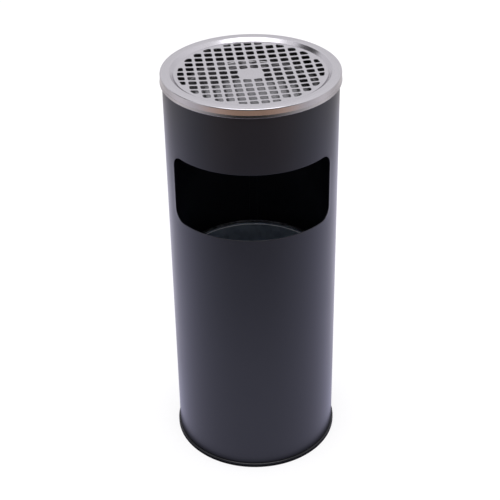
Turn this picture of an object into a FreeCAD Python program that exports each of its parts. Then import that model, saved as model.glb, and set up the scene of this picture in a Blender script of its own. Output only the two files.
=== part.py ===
"""Free-standing ashtray bin: a painted sheet-steel tube with a litter opening, a stainless
ash pan and pierced grate on top, and a loose galvanised liner with a wire bail inside.

Millimetres. Origin on the floor at the tube's axis, +Z up, the litter opening faces -Y.
Each function makes one piece and main() writes each piece to parts/NODE.step.
Profiles lie in the XZ plane: x is the radius from the tube's axis.
"""

import FreeCAD
import Part
import math
import os

from FreeCAD import Vector

ORIGIN = Vector(0, 0, 0)
X_AXIS = Vector(1, 0, 0)
Y_AXIS = Vector(0, 1, 0)
Z_AXIS = Vector(0, 0, 1)

# Overall
TOTAL_HEIGHT = 613.0          # floor to the top of the pan's crown
SHELL_RADIUS = 122.3          # outside of the painted tube
FIT_GAP = 0.05                # clearance between pieces that sit in one another
OVERLAP = 0.1                 # how deep two parts of one piece run into each other
REACH = 40.0                  # length of the bars and drills that trim or pierce a sheet

# Base ring: moulded U section under the tube
RING_RADIUS = 125.0
RING_HEIGHT = 6.8
RING_WEB = 1.5
RING_INNER_RADIUS = 118.6
RING_INNER_HEIGHT = 5.2
RING_CROWN = 2.2              # rounding of the bead seen from outside
RING_ROUND = 0.9

# Outer shell: rolled and lapped tube
SHELL_SHEET = 0.7
SHELL_INSIDE = SHELL_RADIUS - SHELL_SHEET
SHELL_BOTTOM = RING_WEB + FIT_GAP
SHELL_TOP = TOTAL_HEIGHT - 1.23   # close under the pan's crown
SHELL_CURL = 1.2              # outside radius of the curl on the top edge
SHELL_CURL_END = -100.0       # degrees, counted from the outside of the curl
LAP_WIDTH = 12.0              # second thickness of sheet behind the rear joint
LAP_SHORT = 8.0               # the lap stops this far under the top
JOINT_DEPTH = 0.35            # V groove of the rear joint
WELD_PITCH = 42.0
WELD_RADIUS = 2.6
WELD_DEPTH = 0.18

# Litter opening in the shell
OPENING_BOTTOM = 412.0
OPENING_TOP = 514.0
OPENING_HALF_ANGLE = 61.2     # degrees each side of the front
OPENING_CORNER = 18.0
OPENING_HEM = 6.0             # width of the edge, folded back flat inside the shell
OPENING_ROUND = 0.6
HEM_INSIDE = SHELL_INSIDE - SHELL_SHEET

# Base plate
BASE_SHEET = 0.8
BASE_FLOOR = 9.0              # height of its top face
BASE_BEND = 2.5
BASE_BEADS = (46.0, 72.0)     # radii of the stiffening beads
BEAD_HEIGHT = 1.6
BEAD_HALF_WIDTH = 3.5

# Liner: tapered bucket, wired rim, bottom folded on
LINER_SHEET = 0.5
LINER_FOOT = BASE_FLOOR + FIT_GAP
LINER_TOP = 301.7
LINER_FOOT_RADIUS = 98.0      # outside of the wall at the foot
LINER_RIM_RADIUS = 106.9      # outside of the wall under the rim
LINER_WIRE = 1.5              # radius of the wire in the rim
LINER_CURL = LINER_WIRE + LINER_SHEET + FIT_GAP
LINER_CURL_END = -125.0
LINER_FLOOR_LIFT = 6.0
LINER_HEM = 5.0
SEAM_ENDS = (LINER_FOOT + LINER_HEM + 3.0, LINER_TOP - 14.0)
SEAM_WIDTH = 7.0              # folded side seam, standing proud of the wall
SEAM_HEIGHT = 1.1
SEAM_DIRECTION = 135.0        # degrees from +X: at the rear left

# Bail ears and rivets
EAR_SHEET = 1.5
EAR_FACE_RADIUS = LINER_RIM_RADIUS - LINER_SHEET + 2 * LINER_CURL + 0.3
EAR_FOOT = 262.0
EAR_STEP = (291.0, 295.0)     # heights between which the ear steps out round the rim
EAR_STEP_BEND = 2.4
EAR_HALF_WIDTH = 11.0
EAR_CORNER = 5.0
EYE_ROUND = 6.6               # outside radius of the ear round its eye
RIVET_HEIGHTS = (270.0, 283.0)
RIVET_RADIUS = 2.0
RIVET_HEAD_RADIUS = 4.0
RIVET_HEAD = 1.5
RIVET_TAIL_RADIUS = 3.2
RIVET_TAIL = 0.9
RIVET_SEAT = 0.2              # flat heads stand this far off the curved sheets

# Bail: wire hoop folded back on the rim
BAIL_WIRE = 2.0               # wire radius
BAIL_RADIUS = 106.5           # centre line of the hoop
BAIL_BEND = 3.5
BAIL_HEIGHT = LINER_TOP + BAIL_WIRE + FIT_GAP
BAIL_PLAY = 0.08              # running clearance in the eyes
BAIL_END = EAR_FACE_RADIUS + EAR_SHEET + 0.8
BAIL_HEAD_RADIUS = 3.6
BAIL_HEAD = 1.4
BAIL_HEAD_ROUND = 0.5

# Ash pan: bowl, seat for the grate, crown and skirt from one sheet
PAN_SHEET = 0.6
PAN_SKIRT_RADIUS = 124.7
PAN_SKIRT_FOOT = TOTAL_HEIGHT - 13.7
PAN_SHOULDER_DROP = 0.65      # the crown falls this much to its outer edge
PAN_CROWN = (111.9, 118.5)    # radii between which the crown is level
PAN_HEM_RADIUS = 125.35       # the skirt's edge is folded up outside, widest at its foot
PAN_HEM = 3.9
PAN_HEM_STEP = 0.15           # how far the folded edge stands off where it ends
PAN_SEAT = TOTAL_HEIGHT - 5.1
PAN_SEAT_RADIUS = 106.4
PAN_BOWL_RADIUS = 100.8
PAN_FLOOR = TOTAL_HEIGHT - 34.0
PAN_FLOOR_RADIUS = 97.0

# Grate: shallow dish pierced with a square grid that is turned a little to the front
GRATE_SHEET = 0.8
GRATE_RADIUS = 105.7
GRATE_EDGE_ROUND = 0.2
GRATE_TOP = PAN_SEAT + FIT_GAP + GRATE_SHEET
DISH_RADIUS = 101.0
DISH_DEPTH = 2.9
HOLE_PITCH = 14.9
HOLE_SIDE = 11.0
HOLE_CORNER = 2.4
HOLE_ROWS = 14
GRID_TURN = 7.4               # degrees
PIERCED_RADII = (18.3, 100.8) # no holes inside the first or outside the second
CLIPPED_CORNER = 1.0          # rounding where a circle cuts a hole short
SMALLEST_HOLE = 0.4           # share of a whole hole below which none is pierced


# Profile helpers

def unit(dx, dz):
    length = math.hypot(dx, dz)
    return dx / length, dz / length


def corner_points(before, corner, after):
    """Start, middle and end of the arc that rounds a corner (r, z, rounding)."""
    r, z, rounding = corner
    if rounding == 0:
        return [Vector(r, 0, z)]
    ax, az = unit(before[0] - r, before[1] - z)
    bx, bz = unit(after[0] - r, after[1] - z)
    half_angle = math.acos(ax * bx + az * bz) / 2
    reach = rounding / math.tan(half_angle)
    middle = rounding / math.sin(half_angle) - rounding
    mx, mz = unit(ax + bx, az + bz)
    return [Vector(r + ax * reach, 0, z + az * reach),
            Vector(r + mx * middle, 0, z + mz * middle),
            Vector(r + bx * reach, 0, z + bz * reach)]


def outline(corners):
    """Closed face through (r, z, rounding) corners."""
    count = len(corners)
    stops = [corner_points(corners[i - 1], corners[i], corners[(i + 1) % count])
             for i in range(count)]
    edges = []
    for i, stop in enumerate(stops):
        if len(stop) == 3:
            edges.append(Part.Arc(*stop).toShape())
        start, end = stop[-1], stops[(i + 1) % count][0]
        if not start.isEqual(end, 1e-6):
            edges.append(Part.makeLine(start, end))
    return Part.Face(Part.Wire(edges))


def sheet_outline(path, thickness):
    """Face of a bent sheet. path runs along its upper or outer face as (r, z, rounding)
    corners, from the axis outwards or down; the other face is on the right of the path."""
    normals = []
    for start, end in zip(path, path[1:]):
        dx, dz = unit(end[0] - start[0], end[1] - start[1])
        normals.append((dz, -dx))
    other_face = []
    for i, (r, z, rounding) in enumerate(path):
        before = normals[max(i - 1, 0)]
        after = normals[min(i, len(normals) - 1)]
        share = thickness / (1 + before[0] * after[0] + before[1] * after[1])
        turn = before[0] * after[1] - before[1] * after[0]
        if rounding:
            rounding += math.copysign(thickness, turn)
        other_face.append((r + (before[0] + after[0]) * share,
                           z + (before[1] + after[1]) * share, rounding))
    return outline(path + other_face[::-1])


def curled_wall(foot, top, thickness, curl, curl_end):
    """Face of a wall whose top edge curls outwards. foot and top are (r, z) on the inner
    face; curl is the curl's outside radius and curl_end the angle where it stops."""
    centre_r, centre_z = top[0] + curl, top[1] - curl

    def arc(radius, angles):
        points = [Vector(centre_r + radius * math.cos(math.radians(a)), 0,
                         centre_z + radius * math.sin(math.radians(a))) for a in angles]
        return Part.Arc(*points).toShape()

    wall_side = 180.0
    middle = (wall_side + curl_end) / 2
    outside = arc(curl, (wall_side, middle, curl_end))
    inside = arc(curl - thickness, (curl_end, middle, wall_side))
    inner_foot = Vector(foot[0], 0, foot[1])
    outer_foot = Vector(foot[0] + thickness, 0, foot[1])
    return Part.Face(Part.Wire([
        Part.makeLine(inner_foot, outside.firstVertex().Point),
        outside,
        Part.makeLine(outside.lastVertex().Point, inside.firstVertex().Point),
        inside,
        Part.makeLine(inside.lastVertex().Point, outer_foot),
        Part.makeLine(outer_foot, inner_foot),
    ]))


def revolved(face):
    return face.revolve(ORIGIN, Z_AXIS, 360.0)


def part_turn(face, direction, half_angle):
    """Revolves a face through half_angle each side of a direction, degrees from +X."""
    face.rotate(ORIGIN, Z_AXIS, direction - half_angle)
    return face.revolve(ORIGIN, Z_AXIS, 2 * half_angle)


def rectangle(inner, outer, bottom, top):
    return outline([(inner, bottom, 0), (outer, bottom, 0), (outer, top, 0), (inner, top, 0)])


def on_side(shape, side):
    """A shape made on the +X side, moved to the -X side when side is -1."""
    if side < 0:
        shape.rotate(ORIGIN, Z_AXIS, 180.0)
    return shape


# Outer shell

def opening_block(grow):
    """Block through the front of the shell in the shape of the opening, larger by grow."""
    half_angle = OPENING_HALF_ANGLE + math.degrees(grow / SHELL_RADIUS)
    block = part_turn(rectangle(SHELL_RADIUS - REACH / 2, SHELL_RADIUS + REACH / 2,
                                OPENING_BOTTOM - grow, OPENING_TOP + grow), -90.0, half_angle)
    radial = [edge for edge in block.Edges
              if edge.Curve.TypeId == "Part::GeomLine" and abs(edge.tangentAt(0).z) < 0.5]
    return block.makeFillet(OPENING_CORNER + grow, radial)


def opening_edges(shell):
    """Edges where the opening meets the outside of the shell and the inside of its hem."""
    half_angle = math.radians(OPENING_HALF_ANGLE + 1)
    found = []
    for edge in shell.Edges:
        points = edge.discretize(5)
        radii = [math.hypot(p.x, p.y) for p in points]
        on_face = any(all(abs(r - face) < 0.02 for r in radii)
                      for face in (SHELL_RADIUS, HEM_INSIDE))
        beside = all(OPENING_BOTTOM - 1 < p.z < OPENING_TOP + 1
                     and math.atan2(abs(p.x), -p.y) < half_angle for p in points)
        if on_face and beside:
            found.append(edge)
    return found


def rear_lap():
    """The second thickness of sheet behind the joint line."""
    half_angle = math.degrees(LAP_WIDTH / 2 / SHELL_INSIDE)
    return part_turn(rectangle(HEM_INSIDE, SHELL_INSIDE + OVERLAP,
                               SHELL_BOTTOM, SHELL_TOP - LAP_SHORT), 90.0, half_angle)


def rear_joint():
    """V groove down the outside of the joint."""
    mouth = SHELL_RADIUS + OVERLAP
    corners = [Vector(x, y, SHELL_BOTTOM) for x, y in
               ((-JOINT_DEPTH, mouth), (JOINT_DEPTH, mouth), (0, SHELL_RADIUS - JOINT_DEPTH))]
    groove = Part.Face(Part.makePolygon(corners + corners[:1]))
    return groove.extrude(Z_AXIS * (SHELL_TOP - LAP_SHORT - SHELL_BOTTOM))


def weld_dimples():
    """Shallow dishes left by the spot welds through the lap."""
    ball = (WELD_RADIUS ** 2 + WELD_DEPTH ** 2) / (2 * WELD_DEPTH)
    count = int((SHELL_TOP - SHELL_BOTTOM) / WELD_PITCH)
    dimples = []
    for i in range(count):
        height = SHELL_BOTTOM + (i + 0.5) * WELD_PITCH
        centre = Vector(LAP_WIDTH / 4, SHELL_RADIUS + ball - WELD_DEPTH, height)
        dimples.append(Part.makeSphere(ball, centre))
    return dimples


def outer_shell():
    shell = revolved(curled_wall((SHELL_INSIDE, SHELL_BOTTOM), (SHELL_INSIDE, SHELL_TOP),
                                 SHELL_SHEET, SHELL_CURL, SHELL_CURL_END))
    hem = revolved(rectangle(HEM_INSIDE, SHELL_INSIDE + OVERLAP,
                             OPENING_BOTTOM - REACH, OPENING_TOP + REACH))
    hem = hem.common(opening_block(OPENING_HEM))
    shell = shell.fuse(hem).cut(opening_block(0)).removeSplitter()
    shell = shell.makeFillet(OPENING_ROUND, opening_edges(shell))
    return shell.fuse(rear_lap()).cut([rear_joint()] + weld_dimples()).removeSplitter()


# Base

def base_plate():
    """Pressed plate with stiffening beads and a flange turned down inside the shell."""
    flange_radius = SHELL_INSIDE - FIT_GAP
    path = [(0, BASE_FLOOR, 0)]
    for radius in BASE_BEADS:
        path += [(radius - BEAD_HALF_WIDTH, BASE_FLOOR, 2.0),
                 (radius, BASE_FLOOR + BEAD_HEIGHT, 3.0),
                 (radius + BEAD_HALF_WIDTH, BASE_FLOOR, 2.0)]
    path += [(flange_radius, BASE_FLOOR, BASE_BEND), (flange_radius, SHELL_BOTTOM, 0)]
    plate = revolved(sheet_outline(path, BASE_SHEET))
    width, depth = LAP_WIDTH + 2.0, SHELL_SHEET + BASE_SHEET
    lap_notch = Part.makeBox(width, 2 * depth, 2 * BASE_FLOOR,
                             Vector(-width / 2, flange_radius - depth, 0))
    return plate.cut(lap_notch)


def base_ring():
    """Moulded trim that grips the edge of the shell and the flange of the base plate."""
    slot_outside = SHELL_RADIUS + FIT_GAP
    slot_inside = SHELL_INSIDE - BASE_SHEET - 2 * FIT_GAP
    return revolved(outline([
        (RING_INNER_RADIUS, 0, RING_ROUND), (RING_RADIUS, 0, RING_ROUND),
        (RING_RADIUS, RING_HEIGHT, RING_CROWN), (slot_outside, RING_HEIGHT, 0.2),
        (slot_outside, RING_WEB, 0), (slot_inside, RING_WEB, 0),
        (slot_inside, RING_INNER_HEIGHT, 0.3),
        (RING_INNER_RADIUS, RING_INNER_HEIGHT, RING_ROUND),
    ]))


# Liner

def liner_radius(height):
    """Outside radius of the tapered wall at a height below the rim's curl."""
    share = (height - LINER_FOOT) / (LINER_TOP - LINER_CURL - LINER_FOOT)
    return LINER_FOOT_RADIUS + share * (LINER_RIM_RADIUS - LINER_FOOT_RADIUS)


def side_seam():
    """Folded seam down the outside of the liner's wall."""
    bottom, top = SEAM_ENDS
    low, high = liner_radius(bottom), liner_radius(top)
    strip = outline([(low - OVERLAP, bottom, 0), (low + SEAM_HEIGHT, bottom, 0.4),
                     (high + SEAM_HEIGHT, top, 0.4), (high - OVERLAP, top, 0)])
    half_angle = math.degrees(SEAM_WIDTH / 2 / LINER_RIM_RADIUS)
    return part_turn(strip, SEAM_DIRECTION, half_angle)


def drill(radius, height):
    """Bar along +X through the liner's wall and ear at a height."""
    start = Vector(LINER_RIM_RADIUS - REACH / 2, 0, height)
    return Part.makeCylinder(radius, REACH, start, X_AXIS)


def rivet_holes(side):
    return [on_side(drill(RIVET_RADIUS + FIT_GAP, height), side) for height in RIVET_HEIGHTS]


def liner_body():
    foot = LINER_FOOT + LINER_SHEET + FIT_GAP
    wall = revolved(curled_wall((liner_radius(foot) - LINER_SHEET, foot),
                                (LINER_RIM_RADIUS - LINER_SHEET, LINER_TOP),
                                LINER_SHEET, LINER_CURL, LINER_CURL_END))
    return wall.fuse(side_seam()).cut(rivet_holes(1) + rivet_holes(-1)).removeSplitter()


def liner_bottom():
    """Disc let into the foot of the wall, its edge folded round the wall and up outside."""
    inside = liner_radius(LINER_FOOT) - LINER_SHEET - FIT_GAP
    outside = liner_radius(LINER_FOOT + LINER_HEM) + FIT_GAP
    floor, hem_top = LINER_FOOT + LINER_FLOOR_LIFT, LINER_FOOT + LINER_HEM
    return revolved(outline([
        (0, floor, 0), (inside, floor, 1.2), (inside, LINER_FOOT + LINER_SHEET, 0),
        (outside, LINER_FOOT + LINER_SHEET, 0), (outside, hem_top, 0),
        (outside + LINER_SHEET, hem_top, 0), (outside + LINER_SHEET, LINER_FOOT, 0.45),
        (inside - LINER_SHEET, LINER_FOOT, 0.45),
        (inside - LINER_SHEET, floor - LINER_SHEET, 0.7), (0, floor - LINER_SHEET, 0),
    ]))


def liner_rim_wire():
    centre_radius = LINER_RIM_RADIUS - LINER_SHEET + LINER_CURL
    return Part.makeTorus(centre_radius, LINER_WIRE, Z_AXIS * (LINER_TOP - LINER_CURL), Z_AXIS)


def ear_blank():
    """The ear's outline seen along X, as a bar: wide foot, narrow neck, round eye."""
    low, neck = EAR_STEP[0] - 7, EAR_STEP[1] + 1
    half = [(EAR_HALF_WIDTH, EAR_FOOT, EAR_CORNER), (EAR_HALF_WIDTH, low, 6.0),
            (EYE_ROUND, neck, 6.0), (EYE_ROUND, BAIL_HEIGHT, 0)]
    other_half = [(-y, z, rounding) for y, z, rounding in half[::-1]]
    bar = outline(half + other_half)
    bar.rotate(ORIGIN, Z_AXIS, 90.0)
    bar.translate(X_AXIS * (LINER_RIM_RADIUS - REACH / 2))
    return bar.extrude(X_AXIS * REACH).fuse(drill(EYE_ROUND, BAIL_HEIGHT)).removeSplitter()


def bail_ear(side):
    """Pressed lug riveted under the rim, with the eye in which the bail turns."""
    low, high = EAR_STEP
    out = EAR_FACE_RADIUS + EAR_SHEET
    on_wall = FIT_GAP + EAR_SHEET
    strip = revolved(sheet_outline([
        (out, BAIL_HEIGHT + 2 * EYE_ROUND, 0), (out, high, EAR_STEP_BEND),
        (liner_radius(low) + on_wall, low, EAR_STEP_BEND),
        (liner_radius(EAR_FOOT - 5) + on_wall, EAR_FOOT - 5, 0)], EAR_SHEET))
    eye_hole = drill(BAIL_WIRE + BAIL_PLAY, BAIL_HEIGHT)
    ear = strip.common(ear_blank()).cut([eye_hole] + rivet_holes(1))
    return on_side(ear, side)


def ear_rivet(side, height):
    """Domed rivet through the ear and the wall, closed by a flat head inside."""
    inner = liner_radius(height) - LINER_SHEET - RIVET_SEAT
    outer = liner_radius(height) + FIT_GAP + EAR_SHEET + RIVET_SEAT
    rivet = revolved(outline([
        (0, inner - RIVET_TAIL, 0), (RIVET_TAIL_RADIUS, inner - RIVET_TAIL, 0.4),
        (RIVET_TAIL_RADIUS, inner, 0), (RIVET_RADIUS, inner, 0), (RIVET_RADIUS, outer, 0),
        (RIVET_HEAD_RADIUS, outer, 0), (RIVET_HEAD_RADIUS, outer + RIVET_HEAD / 3, 0.4),
        (RIVET_HEAD_RADIUS / 2, outer + RIVET_HEAD, 2.0), (0, outer + RIVET_HEAD, 0)]))
    rivet.rotate(ORIGIN, Y_AXIS, 90.0)
    rivet.translate(Z_AXIS * height)
    return on_side(rivet, side)


def ear_rivets():
    return Part.makeCompound([ear_rivet(side, height)
                              for side in (1, -1) for height in RIVET_HEIGHTS])


def bail():
    """Wire hoop folded back on the rim, its ends bent out through the ears and headed."""
    shoulder = BAIL_RADIUS + BAIL_BEND
    bend_middle = BAIL_BEND * (1 - math.sqrt(0.5))

    def at(x, y):
        return Vector(x, y, BAIL_HEIGHT)

    def bend(side):
        points = [at(side * shoulder, 0), at(side * (BAIL_RADIUS + bend_middle), bend_middle),
                  at(side * BAIL_RADIUS, BAIL_BEND)]
        return Part.Arc(*points[::side]).toShape()

    hoop = Part.Arc(at(BAIL_RADIUS, BAIL_BEND), at(0, BAIL_BEND + BAIL_RADIUS),
                    at(-BAIL_RADIUS, BAIL_BEND)).toShape()
    spine = Part.Wire([Part.makeLine(at(BAIL_END, 0), at(shoulder, 0)), bend(1), hoop, bend(-1),
                       Part.makeLine(at(-shoulder, 0), at(-BAIL_END, 0))])
    section = Part.Wire(Part.makeCircle(BAIL_WIRE, at(BAIL_END, 0), X_AXIS))
    wire = spine.makePipeShell([section], True, False)
    heads = []
    for side in (1, -1):
        head = Part.makeCylinder(BAIL_HEAD_RADIUS, BAIL_HEAD, at(side * BAIL_END, 0),
                                 X_AXIS * side)
        rims = [edge for edge in head.Edges if edge.Curve.TypeId == "Part::GeomCircle"]
        heads.append(head.makeFillet(BAIL_HEAD_ROUND, rims))
    return wire.fuse(heads).removeSplitter()


# Ash pan and grate

def ash_pan():
    shoulder = TOTAL_HEIGHT - PAN_SHOULDER_DROP
    pan = revolved(sheet_outline([
        (0, PAN_FLOOR, 0), (PAN_FLOOR_RADIUS, PAN_FLOOR, 9.0),
        (PAN_BOWL_RADIUS, PAN_SEAT, 1.6), (PAN_SEAT_RADIUS, PAN_SEAT, 1.2),
        (PAN_CROWN[0], TOTAL_HEIGHT, 2.2), (PAN_CROWN[1], TOTAL_HEIGHT, 25.0),
        (PAN_SKIRT_RADIUS, shoulder, 1.9), (PAN_SKIRT_RADIUS, PAN_SKIRT_FOOT, 0),
    ], PAN_SHEET))
    inside, hem_top = PAN_SKIRT_RADIUS - OVERLAP, PAN_SKIRT_FOOT + PAN_HEM
    hem = revolved(outline([(inside, PAN_SKIRT_FOOT, 0), (PAN_HEM_RADIUS, PAN_SKIRT_FOOT, 0.3),
                            (PAN_SKIRT_RADIUS + PAN_HEM_STEP, hem_top, 0), (inside, hem_top, 0)]))
    return pan.fuse(hem).removeSplitter()


def grate_blank():
    """The grate before piercing: a level edge round a shallow spherical dish."""
    def dish(top):
        half_way_depth = DISH_DEPTH * 0.75
        return Part.Arc(Vector(0, 0, top - DISH_DEPTH),
                        Vector(DISH_RADIUS / 2, 0, top - half_way_depth),
                        Vector(DISH_RADIUS, 0, top)).toShape()

    bottom = GRATE_TOP - GRATE_SHEET
    rim = outline([(DISH_RADIUS, bottom, 0), (GRATE_RADIUS, bottom, GRATE_EDGE_ROUND),
                   (GRATE_RADIUS, GRATE_TOP, GRATE_EDGE_ROUND), (DISH_RADIUS, GRATE_TOP, 0)])
    upper, lower = dish(GRATE_TOP), dish(bottom)
    middle = Part.Face(Part.Wire(Part.sortEdges([
        upper, lower,
        Part.makeLine(upper.firstVertex().Point, lower.firstVertex().Point),
        Part.makeLine(upper.lastVertex().Point, lower.lastVertex().Point),
    ])[0]))
    return revolved(rim).fuse(revolved(middle)).removeSplitter()


def hole_shapes():
    """The pierced holes as level faces. A hole cut short by a circle gets rounded corners,
    and is left out when little of it remains."""
    half = HOLE_SIDE / 2
    square = outline([(x, y, HOLE_CORNER) for x, y in
                      ((-half, -half), (half, -half), (half, half), (-half, half))])
    square.rotate(ORIGIN, X_AXIS, -90.0)
    steps = [(i - (HOLE_ROWS - 1) / 2) * HOLE_PITCH for i in range(HOLE_ROWS)]
    blank, field = [Part.Face(Part.Wire(Part.makeCircle(r))) for r in PIERCED_RADII]
    ring = field.cut(blank)
    holes = []
    for x in steps:
        for y in steps:
            hole = square.translated(Vector(x, y, 0))
            hole.rotate(ORIGIN, Z_AXIS, GRID_TURN)
            for piece in hole.common(ring).Faces:
                share = piece.Area / square.Area
                if share > 0.999:
                    holes.append(piece)
                elif share > SMALLEST_HOLE:
                    inset = piece.makeOffset2D(-CLIPPED_CORNER)
                    holes.append(inset.makeOffset2D(CLIPPED_CORNER))
    return holes


def ash_grate():
    depth = 2 * (DISH_DEPTH + GRATE_SHEET)
    punches = []
    for hole in hole_shapes():
        hole.translate(Z_AXIS * (GRATE_TOP + 1 - depth))
        punches.append(hole.extrude(Z_AXIS * depth))
    return grate_blank().cut(punches)


def main():
    os.makedirs("parts", exist_ok=True)
    pieces = {
        "outer_shell": outer_shell(),
        "base_plate": base_plate(),
        "base_ring": base_ring(),
        "liner_body": liner_body(),
        "liner_bottom": liner_bottom(),
        "liner_rim_wire": liner_rim_wire(),
        "bail_ear_right": bail_ear(1),
        "bail_ear_left": bail_ear(-1),
        "ear_rivets": ear_rivets(),
        "bail": bail(),
        "ash_pan": ash_pan(),
        "ash_grate": ash_grate(),
    }
    for node, shape in pieces.items():
        shape.exportStep(f"parts/{node}.step")


main()
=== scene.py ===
"""Looks of the ashtray bin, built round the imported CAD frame: graphite powder-coated tube,
brushed stainless pan and grate, galvanised liner with its bail, black moulded base ring.

The scene is in metres. Profiles and outlines are written in millimetres, with the CAD's own
sizes, and new_piece() scales them. The opening faces -Y, as in the CAD.
"""

import math
from functools import partial

import bmesh
import bpy
import numpy as np
from mathutils import Matrix, Vector
from mathutils.geometry import delaunay_2d_cdt


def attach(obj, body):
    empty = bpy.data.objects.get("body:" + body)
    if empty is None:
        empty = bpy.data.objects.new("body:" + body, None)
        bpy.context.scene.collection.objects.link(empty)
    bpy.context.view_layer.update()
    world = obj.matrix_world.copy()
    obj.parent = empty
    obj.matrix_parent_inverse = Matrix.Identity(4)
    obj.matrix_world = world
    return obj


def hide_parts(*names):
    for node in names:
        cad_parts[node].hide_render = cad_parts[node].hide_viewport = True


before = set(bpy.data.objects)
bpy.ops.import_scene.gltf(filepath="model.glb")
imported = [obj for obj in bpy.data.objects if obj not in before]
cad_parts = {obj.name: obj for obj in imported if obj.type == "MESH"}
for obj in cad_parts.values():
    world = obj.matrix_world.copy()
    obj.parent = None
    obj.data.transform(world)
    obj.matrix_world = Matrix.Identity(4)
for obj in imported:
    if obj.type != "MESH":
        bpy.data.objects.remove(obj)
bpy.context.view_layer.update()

MM = 0.001
TURN = 2 * math.pi

# Sizes of the bin, mm
TOTAL_HEIGHT = 613.0
GAP = 0.05                    # between pieces that rest on each other

SHELL_RADIUS = 122.3
SHELL_SHEET = 0.7
SHELL_INSIDE = SHELL_RADIUS - SHELL_SHEET
SHELL_BOTTOM = 1.55
SHELL_TOP = TOTAL_HEIGHT - 1.23
SHELL_CURL = 1.2
SHELL_CURL_END = math.radians(-100.0)
LAP_HALF_WIDTH = 6.0          # the rear joint's second layer of sheet, inside
LAP_TOP = SHELL_TOP - 8.0
LAP_EDGE = 0.1                # the layer ends over this distance
JOINT_DEPTH = 0.35            # groove along the joint, outside
WELD_PITCH = 42.0
WELD_RADIUS = 2.6
WELD_DEPTH = 0.18
WELD_SIDE = 3.0               # from the joint line to the welds

OPENING_BOTTOM = 412.0
OPENING_TOP = 514.0
OPENING_HALF_ANGLE = math.radians(61.2)
OPENING_CORNER = 18.0
OPENING_HEM = 6.0             # the edge is folded back flat inside
OPENING_ROUND = 0.6
HEM_DEPTH = 2 * SHELL_SHEET
HEM_END_ROUND = 0.2
HEM_LIFT = 0.5                # folding sprang the upright edges out by this much

RING_RADIUS = 125.0
RING_HEIGHT = 6.8
RING_WEB = 1.5
RING_INNER_RADIUS = 118.6
RING_INNER_HEIGHT = 5.2
RING_SLOT = (120.7, 122.35)   # the tube's foot stands between these radii
RING_FOOT_ROUND = 0.9
RING_TOP_ROUND = 2.2
RING_LIP_ROUNDS = (0.3, 0.2)  # at the slot's inner and outer lip

PAN_SHEET = 0.6
PAN_FLOOR = TOTAL_HEIGHT - 34.0
PAN_FLOOR_RADIUS = 97.0
PAN_FLOOR_ROUND = 9.0
PAN_BOWL_RADIUS = 100.8       # where the bowl meets the seat
PAN_BOWL_ROUND = 1.6
PAN_SEAT = TOTAL_HEIGHT - 5.1
PAN_SEAT_RADIUS = 106.4
PAN_SEAT_ROUND = 1.2
PAN_CROWN_RADII = (111.9, 118.5)
PAN_CROWN_ROUNDS = (2.2, 25.0)
PAN_SHOULDER = TOTAL_HEIGHT - 0.65
PAN_SHOULDER_ROUND = 1.9
PAN_SKIRT_RADIUS = 124.7
PAN_SKIRT_FOOT = TOTAL_HEIGHT - 13.7
PAN_HEM_RADIUS = 125.35
PAN_HEM_TOP = PAN_SKIRT_FOOT + 3.9
PAN_HEM_STEP = 0.15           # the folded edge stands this far off where it ends
PAN_FOOT_ROUNDS = (0.3, 0.4)  # outside and inside the folded edge

GRATE_SHEET = 0.8
GRATE_RADIUS = 105.7
GRATE_TOP = PAN_SEAT + GAP + GRATE_SHEET
GRATE_ROUND = 0.2
DISH_RADIUS = 101.0
DISH_DEPTH = 2.9
HOLE_PITCH = 14.9
HOLE_SIDE = 11.0
HOLE_CORNER = 2.4
HOLE_ROWS = 14
GRID_TURN = math.radians(7.4)
PIERCED_RADII = (18.3, 100.8)  # circles that the holes stay between
CLIP_BLEND = 1.6              # how softly a circle cuts a hole short
SMALLEST_HOLE = 45.0          # mm2

LINER_TOP = 301.7
RIM_HIGHLIGHT_BAND = (1.0, 2.1)         # painted highlight round the liner's rim, mm below its top
RIM_HIGHLIGHT_BLEND = 0.2

# How finely the new meshes are cut
LATHE_STEPS = 256
ARC_STEP = math.radians(9)
SUPPORT = 0.25                # points this near a bend keep smooth shading inside it
WALL_STEP = 3.5
ROW_STEP = 12.0
CORNER_CELLS = 7
CURL_POINTS = 24
HEM_POINTS = 7                # round each quarter of the folded edge
WELD_MARGIN = 0.2             # of the grid cell round a weld mark
WELD_SIDES = 16
WELD_RINGS = (1.0, 0.8, 0.5, 0.2)
HOLE_STEPS = 40
HOLE_HALVINGS = 24            # steps of the search for a hole's edge
HOLE_SAMPLE = 0.5             # spacing of the points that measure a hole, mm
LEVEL_RING = DISH_RADIUS + 1.6    # keeps the grate's flat rim apart from its dish
SHARP_ANGLE = math.radians(38)

# Wear on outside edges
FLAT_ANGLE = 0.05             # edges bent by less, radians, show none
WEAR_RADIUS = 1.2             # edges rounder than this, mm, show none

# Colours and roughness
COAT_COLORS = ((0.0040, 0.0044, 0.0068), (0.0062, 0.0066, 0.0098))
COAT_DUST = (0.035, 0.035, 0.038)
# Lighter colour of tight edges: partly wear, partly painted highlight.
COAT_WEAR_AND_HIGHLIGHT = (0.05, 0.05, 0.058)
COAT_ROUGHNESS = 0.28
COAT_IOR = 1.48
STEEL_COLORS = ((0.57, 0.56, 0.575), (0.66, 0.645, 0.665))
STEEL_SMUDGE = (0.50, 0.49, 0.49)
STEEL_ROUGHNESS = 0.17
# Painted shade inside the pan's bowl, on its floor and darker on its wall, so that what shows
# through the grate's holes is dark.
BOWL_SHADE_COLORS = ((0.31, 0.31, 0.315), (0.075, 0.074, 0.073))    # floor, wall
BOWL_WALL_FOOT = (0.2, 2.2)   # mm above the floor, where one turns into the other
BOWL_SHADE_EDGE = 3.0         # mm over which the painted shade ends inside the seat
BOWL_ROUGHNESS = 0.15
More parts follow.
